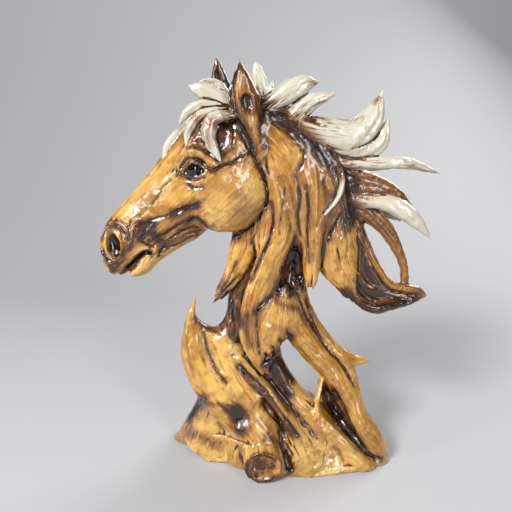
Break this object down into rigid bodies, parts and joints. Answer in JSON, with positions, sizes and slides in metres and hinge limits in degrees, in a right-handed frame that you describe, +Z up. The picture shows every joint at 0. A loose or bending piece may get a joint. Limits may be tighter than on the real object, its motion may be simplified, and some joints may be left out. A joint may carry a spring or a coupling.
{
  "type": "horse head statuette",
  "caption": "Glossy resin statuette of a horse's head and neck growing out of carved driftwood, with a pale flowing mane, on a broad rooted base.",
  "frame": {"origin": "on the flat underside, below the root of the neck", "axes": "+Z up; the horse faces -X; its left side, the side the picture shows, faces -Y"},
  "size_m": [0.3028, 0.109, 0.3833],
  "materials": {
    "resin": "varnished, honey brown with dark stain in the hollows and cream locks"
  },
  "bodies": {
    "root": {"statuette": "resin"}
  },
  "joints": []
}
